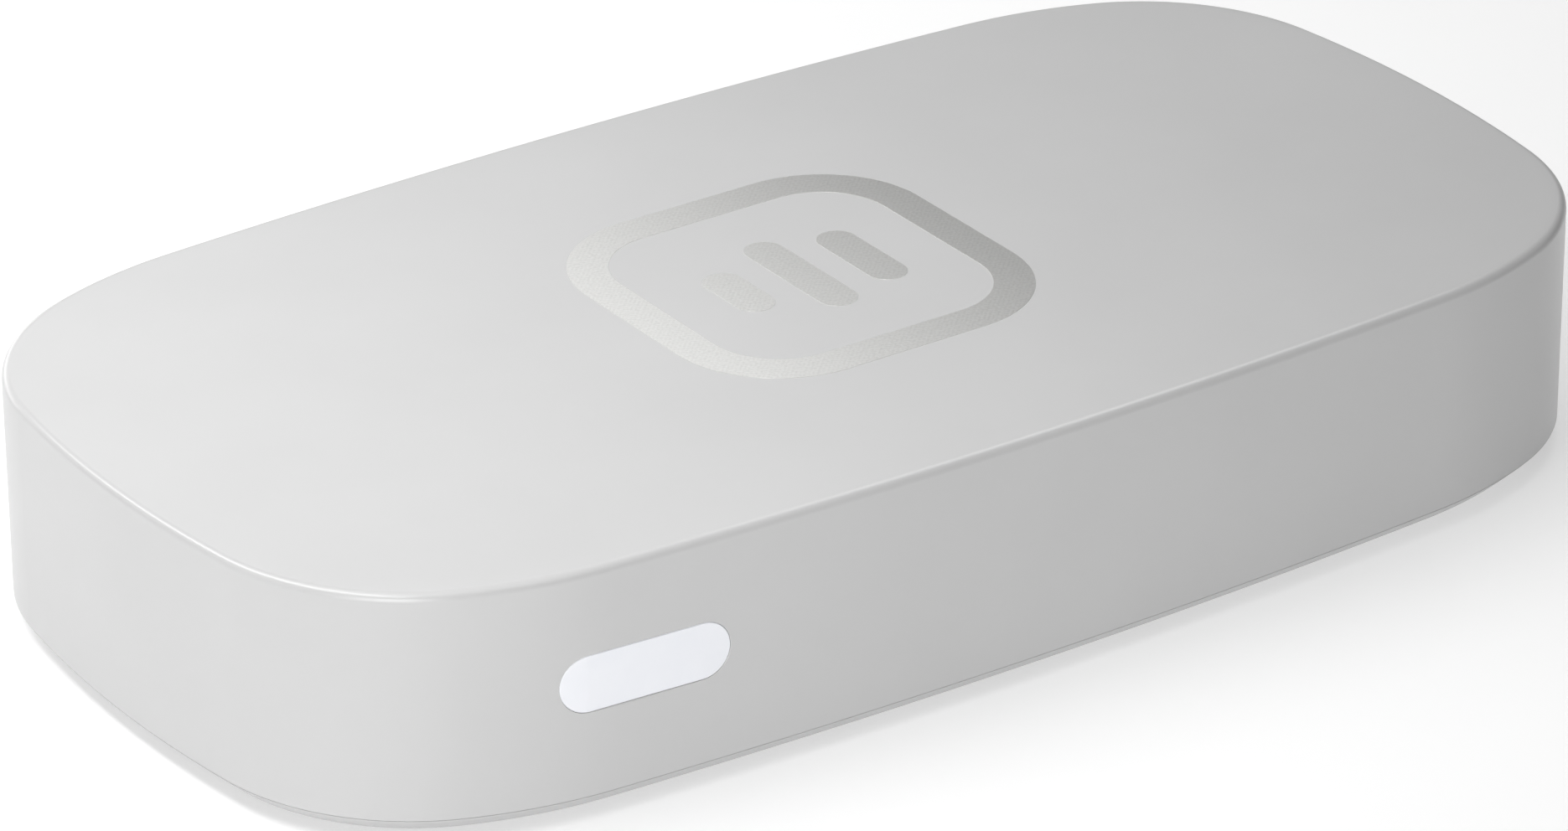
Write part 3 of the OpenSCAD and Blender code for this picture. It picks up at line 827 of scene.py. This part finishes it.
def rubber_feet():
    """Four stuck-on discs with rounded rims and a shallow dished face."""
    rim_steps = 6
    profile = [(FOOT_R - inward, z) for inward, z in FOOT_DISH]
    profile.append((FOOT_R - FOOT_RIM_R, 0))
    for k in range(1, rim_steps + 1):
        turn = math.radians(90 * k / rim_steps)
        radius = FOOT_R - FOOT_RIM_R + FOOT_RIM_R * math.sin(turn)
        profile.append((radius, FOOT_RIM_R * (1 - math.cos(turn))))
    profile.append((FOOT_R, FOOT_SEAT_Z - 0.01))
    feet = joined("rubber_feet", [lathe("foot", profile, 64, at) for at in CASE_SCREWS])
    return piece(feet, MATERIALS["foot_rubber"], "foot_rubber", "rubber_feet")


def rating_label():
    """A blank film label with round corners and a pressed border line."""
    low, high = box_mm("rating_label")
    width, height = high.x - low.x, high.y - low.y
    rings = []
    for inset, radius, depth in LABEL_STEPS:
        rings.append(shape_ring(round_rect(width - 2 * inset, height - 2 * inset, radius), low.z + depth))
    outer_r = LABEL_STEPS[-1][1]
    rings.append(shape_ring(round_rect(width, height, outer_r), high.z))
    film = loft("rating_label", rings)
    return piece(film, MATERIALS["label"], "label", "rating_label", smooth=20)


# ---------------------------------------------------------------- emblem and window

EMBLEM_LOW, EMBLEM_HIGH = box_mm("top_emblem")
EMBLEM_SIDE = EMBLEM_HIGH.x - EMBLEM_LOW.x
EMBLEM_TOP = EMBLEM_HIGH.z
EMBLEM_ROOT = TOP_Z - 0.1
EMBLEM_R = 8
EMBLEM_STROKE = 2.8
# Heights of the three bars and the step between them, as shares of the emblem's side.
BAR_HEIGHTS = (0.24, 0.42, 0.32)
BAR_STEP = 0.185

WINDOW_EDGE = 0.05
FLANGE_EDGE = 0.1
FLANGE_T = 0.7


def emblem_square(grow):
    side = EMBLEM_SIDE + 2 * grow
    return round_rect(side, side, EMBLEM_R + grow, 24)


def emblem_bar(x, height):
    """An upright round-ended bar of film, from under the roof's face to the foil's top."""

    def shape(grow):
        ends = stadium(height + 2 * grow, EMBLEM_STROKE + 2 * grow)
        return [Vector((x - p.y, p.x)) for p in ends]

    return loft("bar", [
        shape_ring(shape(0), EMBLEM_ROOT),
        shape_ring(shape(0), EMBLEM_TOP),
        shape_ring(shape(-0.3), EMBLEM_TOP),
    ])


def top_emblem():
    """A square frame with round corners and three level bars, as one thin stamped foil."""
    section = (
        (0, EMBLEM_ROOT),
        (0, EMBLEM_TOP),
        (-EMBLEM_STROKE, EMBLEM_TOP),
        (-EMBLEM_STROKE, EMBLEM_ROOT),
    )
    foils = [loft("foil", [shape_ring(emblem_square(grow), z) for grow, z in section], closed=True)]
    for i, share in enumerate(BAR_HEIGHTS):
        foils.append(emblem_bar((i - 1) * BAR_STEP * EMBLEM_SIDE, share * EMBLEM_SIDE))
    foil = joined("top_emblem", foils)
    return piece(foil, MATERIALS["emblem_foil"], "emblem_foil", "top_emblem", smooth=20)


def status_window():
    """The flush light window, curved with the wall, with its flange behind."""
    stations = [
        (HAIRLINE - WINDOW_HEIGHT / 2, 0),
        (-1.0, 0),
        (-0.4, 0),
        (-WINDOW_EDGE, 0),
        (0, WINDOW_EDGE),
        (0, WALL),
        (FLANGE_GROW - FLANGE_EDGE, WALL),
        (FLANGE_GROW, WALL + FLANGE_EDGE),
        (FLANGE_GROW, WALL + FLANGE_T - FLANGE_EDGE),
        (FLANGE_GROW - FLANGE_EDGE, WALL + FLANGE_T),
    ]
    window = loft("status_window", [
        on_wall(window_outline(grow), WINDOW_X, WINDOW_Z, -1, depth) for grow, depth in stations
    ])
    return piece(window, MATERIALS["diffuser"], "diffuser", "status_window")


# ---------------------------------------------------------------- sockets

PIN_STEP = 0.5
VIDEO_PINS = 19
DATA_PINS = 12
VIDEO_LIP = 0.16
DATA_LIP = 0.1
SHELL_CORNER_R = 0.45

# Latch springs of a video socket: side and height from the mouth's centre, and distances behind the mouth.
SPRING_X = 2.6
SPRING_Z = 2.35
SPRING_ROOT = 8.75
SPRING_WIDTH = 1.7
SPRING_LENGTH = 6.2
SPRING_SAG = 0.55
SPRING_T = 0.2
SPRING_SLOT = (2.2, 6.4, 1.2)
SPRING_SLOT_BACK = 5.4
SPRING_SLOT_Z = 2.5

LEG_SIZE = (0.4, 1.4)
LEG_SINK = 0.02
VIDEO_LEGS = (3.2, 9.4)
DATA_LEGS = (2, 6)

BLOCK_GAP = 0.05
BLOCK_EDGE = 0.1
VIDEO_BLOCK_T = 3.2
DATA_BLOCK_T = 2.6
VIDEO_PLATE = (11.6, 1.9)
VIDEO_PLATE_UP = 0.3
DATA_PLATE = (6.69, 0.7)
DATA_COLLAR = (6.69, 2.2, 1.2)
GROOVE = (0.56, 7.8, 0.16)
GROOVE_BACK = 3.6

VIDEO_BLADE = 0.38
DATA_BLADE = 0.24
BLADE_BEVEL = (0.05, 0.03)
BLADE_SINK = 0.15
# A blade's front end curls down: distance behind its tip, and lift of its face over the tongue.
BLADE_CURL = ((0, -0.10), (0.15, 0.02), (0.4, 0.09))


def into_body(points, x, y, z):
    """Points drawn in x and z, at the plane y."""
    return [Vector((x + p[0], y, z + p[1])) for p in points]


def tube(name, shape, metal_t, lip, x, mouth_y, z, depth):
    """A sheet metal sleeve with a flared inner lip. shape(grow) is its inner outline grown outwards."""
    back_y = mouth_y - depth
    outer_bevel = 0.06
    path = [
        (0, back_y),
        (0, mouth_y - 2.5 * lip),
        (0.4 * lip, mouth_y - 0.8 * lip),
        (lip, mouth_y),
        (metal_t - outer_bevel, mouth_y),
        (metal_t, mouth_y - outer_bevel),
        (metal_t, back_y),
    ]
    return loft(name, [into_body(shape(grow), x, y, z) for grow, y in path], closed=True)


def spring(x, y_root, z, down):
    """A latch spring: a tongue of sheet that starts level with the shell and dips into the mouth."""
    steps = 10
    rings = []
    for k in range(steps + 1):
        t = k / steps
        dip = SPRING_SAG * math.sin(math.pi * min(1, t * 1.15) * 0.8) ** 2
        y = y_root + t * SPRING_LENGTH
        low = z - down * dip
        high = low + down * SPRING_T
        half = SPRING_WIDTH / 2 * (1 - 0.25 * t)
        section = ((-half, low), (half, low), (half, high), (-half, high))
        rings.append([Vector((x + across, y, level)) for across, level in section])
    return loft("spring", rings)


def legs(x, mouth_y, half_width, low_z, high_z, backs):
    """Board legs on both sides of a shell, at the given distances behind its mouth."""
    result = []
    for side in (-1, 1):
        for back in backs:
            centre = (x + side * (half_width - LEG_SINK), mouth_y - back, (low_z + high_z) / 2)
            result.append(brick("leg", centre, (*LEG_SIZE, high_z - low_z), 0.08))
    return result


def tongue_block(shape, x, back_y, z, depth):
    """The moulded block that closes a shell's back end and holds its tongue."""
    stations = ((BLOCK_EDGE, 0), (0, BLOCK_EDGE), (0, depth - BLOCK_EDGE), (BLOCK_EDGE, depth))
    return loft("block", [
        into_body(shape(-BLOCK_GAP - inset), x, back_y + ahead, z) for inset, ahead in stations
    ])


def contact_blade(x, y_front, y_back, face_z, level, width):
    """A contact strip lying in its groove, its front end curled down into the tongue."""
    stations = [(y_front - back, lift) for back, lift in BLADE_CURL]
    stations.append((y_back, BLADE_CURL[-1][1]))
    half = width / 2
    bevel_x, bevel_z = BLADE_BEVEL
    under = face_z - level * BLADE_SINK
    rings = []
    for y, lift in stations:
        top = face_z + level * lift
        shoulder = top - level * bevel_z
        section = (
            (-half, under),
            (half, under),
            (half, shoulder),
            (half - bevel_x, top),
            (bevel_x - half, top),
            (-half, shoulder),
        )
        rings.append([Vector((x + across, y, z)) for across, z in section])
    return loft("blade", rings)


def pin_places(x, count):
    return [x + (i - (count - 1) / 2) * PIN_STEP for i in range(count)]


def video_shell(node, x, mouth_y, z):
    """Sleeve with four latch springs in their slots, and four board legs."""
    low, high = box_mm(node)

    def shape(grow):
        return video_outline(grow, SHELL_CORNER_R + grow)

    sleeve = tube(node, shape, VIDEO_METAL, VIDEO_LIP, x, mouth_y, z, high.y - low.y)
    slots = []
    springs = []
    for side in (-1, 1):
        for level in (-1, 1):
            spring_x = x + side * SPRING_X
            slot_at = (spring_x, mouth_y - SPRING_SLOT_BACK, z + level * SPRING_SLOT_Z)
            slots.append(brick("slot", slot_at, SPRING_SLOT))
            springs.append(spring(spring_x, mouth_y - SPRING_ROOT, z + level * SPRING_Z, level))
    boolean(sleeve, slots)
    parts = [sleeve] + springs
    parts += legs(x, mouth_y, VIDEO_MOUTH_HALF + VIDEO_METAL, low.z, z, VIDEO_LEGS)
    return piece(joined(node, parts), MATERIALS["socket_steel"], "socket_steel", node)


def video_tongue(node, x, z, plate_z):
    """Contact tongue with a groove for each contact, and the block behind it."""
    low, high = box_mm(node)
    width, thick = VIDEO_PLATE
    back = low.y + 2
    plate = brick("plate", (x, (high.y + back) / 2, plate_z), (width, high.y - back, thick), 0.18, 3)
    grooves = []
    for i, pin_x in enumerate(pin_places(x, VIDEO_PINS)):
        face_z = plate_z + (-1) ** i * thick / 2
        grooves.append(brick("groove", (pin_x, high.y - GROOVE_BACK, face_z), GROOVE))
    boolean(plate, [joined("grooves", grooves)])

    def shape(grow):
        return video_outline(grow, 0.4)

    boolean(plate, [tongue_block(shape, x, low.y, z, VIDEO_BLOCK_T)], "UNION")
    return piece(plate, MATERIALS["socket_black"], "socket_black", node)


def video_contacts(node, x, tongue_low, tongue_high, plate_z):
    """Nineteen contacts, by turns over and under the tongue, with their board feet in two rows."""
    contacts = []
    for i, pin_x in enumerate(pin_places(x, VIDEO_PINS)):
        level = (-1) ** i
        face_z = plate_z + level * VIDEO_PLATE[1] / 2
        front = tongue_high.y - 0.55
        contacts.append(contact_blade(pin_x, front, tongue_low.y + 1.9, face_z, level, VIDEO_BLADE))
        leg_y = tongue_low.y - (1.15 if level == 1 else 0.45)
        contacts.append(brick("riser", (pin_x, leg_y, BOARD_HIGH.z + 0.8), (0.3, 0.3, 1.6), 0.05))
        contacts.append(brick("toe", (pin_x, leg_y - 0.45, BOARD_HIGH.z + 0.1), (0.3, 1, 0.2), 0.05))
    return piece(joined(node, contacts), MATERIALS["gold_contact"], "gold_contact", node)


def video_socket(prefix):
    """A video receptacle: shell, tongue and two rows of contacts."""
    x, mouth_y, z = shell_centre(prefix + "_shell", VIDEO_METAL, VIDEO_MOUTH_TOP)
    plate_z = z + VIDEO_PLATE_UP
    video_shell(prefix + "_shell", x, mouth_y, z)
    video_tongue(prefix + "_tongue", x, z, plate_z)
    video_contacts(prefix + "_contacts", x, *box_mm(prefix + "_tongue"), plate_z)


def data_shell(x, mouth_y, z):
    """Seamless sleeve with four board legs."""
    low, high = box_mm("usb_c_shell")
    parts = [tube("usb_c_shell", data_outline, DATA_METAL, DATA_LIP, x, mouth_y, z, high.y - low.y)]
    parts += legs(x, mouth_y, DATA_MOUTH[0] / 2 + DATA_METAL, low.z, z, DATA_LEGS)
    return piece(joined("usb_c_shell", parts), MATERIALS["socket_steel"], "socket_steel", "usb_c_shell")


def data_tongue(x, z, low, high):
    """Thin tongue with a thicker collar at its root, and the block behind it."""
    back = low.y + 2.4
    width, thick = DATA_PLATE
    plate = brick("plate", (x, (high.y + back) / 2, z), (width, high.y - back, thick), 0.12, 3)
    collar = brick("collar", (x, back + 1.0, z), DATA_COLLAR, 0.1)
    block = tongue_block(data_outline, x, low.y, z, DATA_BLOCK_T)
    boolean(plate, [collar, block], "UNION")
    return piece(plate, MATERIALS["socket_black"], "socket_black", "usb_c_tongue")


def data_contacts(x, z, low, high):
    """Twelve contacts a side, the outer ones longer, with their board feet."""
    shell_low = box_mm("usb_c_shell")[0]
    contacts = []
    for i, pin_x in enumerate(pin_places(x, DATA_PINS)):
        front = high.y - (0.35 if i in (0, DATA_PINS - 1) else 0.8)
        for level in (-1, 1):
            contacts.append(contact_blade(pin_x, front, low.y + 3.9, z + level * 0.33, level, DATA_BLADE))
        toe_at = (pin_x, shell_low.y - 1.2, BOARD_HIGH.z + 0.1)
        contacts.append(brick("toe", toe_at, (0.26, 1, 0.2), 0.04))
    contacts = joined("usb_c_contacts", contacts)
    return piece(contacts, MATERIALS["gold_contact"], "gold_contact", "usb_c_contacts")


def data_socket():
    """A small reversible data receptacle: shell, tongue and two rows of contacts."""
    x, mouth_y, z = shell_centre("usb_c_shell", DATA_METAL, DATA_MOUTH[1] / 2)
    tongue_low, tongue_high = box_mm("usb_c_tongue")
    data_shell(x, mouth_y, z)
    data_tongue(x, z, tongue_low, tongue_high)
    data_contacts(x, z, tongue_low, tongue_high)


top_cover()
bottom_cover()
rubber_feet()
rating_label()
top_emblem()
status_window()
video_socket("video_in")
video_socket("video_out")
data_socket()

# ---------------------------------------------------------------- carried-over CAD nodes

SLOT_OF = {entry["node"]: entry["material_slot"] for entry in frame["record"]["subparts"]}

for node_name, node in NODES.items():
    if not node.hide_render:
        node.data.materials.clear()
        node.data.materials.append(MATERIALS[SLOT_OF[node_name]])

# ---------------------------------------------------------------- floor, lights, background

FLOOR_REACH = 3
FLOOR_GLOW = 0.41
WORLD_GLOW = 0.04


def make_floor():
    """A pale matt floor that glows a little, so that it stays pale away from the lights."""
    corners = [(x * FLOOR_REACH, y * FLOOR_REACH, 0) for x, y in ((-1, -1), (1, -1), (1, 1), (-1, 1))]
    floor = new_object("floor", corners, [(0, 1, 2, 3)])
    material, tree, shader, place = start_material("floor")
    patches = ranged(tree, noise(tree, place, 40, 2), 0, 1)
    colour = blended(tree, patches, (0.62, 0.62, 0.62), (0.63, 0.63, 0.63))
    tree.links.new(colour, shader.inputs["Base Color"])
    shader.inputs["Roughness"].default_value = 0.9
    shader.inputs["Emission Color"].default_value = (1, 1, 1, 1)
    shader.inputs["Emission Strength"].default_value = FLOOR_GLOW
    floor.data.materials.append(material)


def soft_box(name, place, size, radiance, aim=None):
    """A soft box centred at place, in metres. It faces straight down, or towards aim."""
    data = bpy.data.lights.new(name, "AREA")
    data.shape = "RECTANGLE"
    data.size, data.size_y = size
    data.energy = radiance * math.pi * size[0] * size[1]
    light = bpy.data.objects.new(name, data)
    light.location = place
    if aim:
        light.rotation_euler = (Vector(aim) - Vector(place)).to_track_quat("-Z", "Y").to_euler()
    light.visible_camera = False
    bpy.context.scene.collection.objects.link(light)
    return light


def make_world(strength):
    world = bpy.data.worlds.new("studio")
    world.use_nodes = True
    world.node_tree.nodes["Background"].inputs["Color"].default_value = (1, 1, 1, 1)
    world.node_tree.nodes["Background"].inputs["Strength"].default_value = strength
    bpy.context.scene.world = world


def make_lights():
    """Soft boxes in metres: a roof of panels, brighter to the left, and weak fills at the sides."""
    # The roof's back panel is what the foil mirrors: its right edge sets the foil's fall-off.
    soft_box("roof_back", (0.08, 0.23, 0.15), (0.12, 0.30), 1.28)
    soft_box("roof_front", (-0.02, -0.035, 0.15), (0.12, 0.23), 1.15)
    soft_box("roof_right", (0.09, 0.03, 0.15), (0.10, 0.10), 2.0)
    # Narrow bright strips over the left end draw the line along its fillet.
    soft_box("streak_front", (-0.11, -0.03, 0.15), (0.03, 0.12), 8.6)
    soft_box("streak_inner", (-0.0775, 0.03, 0.15), (0.035, 0.24), 2.6)
    soft_box("streak_back", (-0.11, 0.125, 0.15), (0.03, 0.19), 7.6)
    # The walls fade from the near left corner to the right.
    soft_box("near_left", (-0.20, -0.19, 0.06), (0.12, 0.12), 3.9, aim=(0, 0, 0.01))
    soft_box("left_front", (-0.40, -0.30, 0.20), (0.30, 0.30), 1.4, aim=(0, 0, 0.01))
    soft_box("front_panel", (-0.55, -0.95, 0.40), (1.2, 0.6), 0.25, aim=(0, 0, 0.01))
    soft_box("rear_fill", (-0.05, 0.40, 0.07), (0.30, 0.10), 3.0, aim=(0, 0.03, 0.008))


make_floor()
make_world(WORLD_GLOW)
make_lights()
bpy.context.scene.view_settings.view_transform = "Standard"
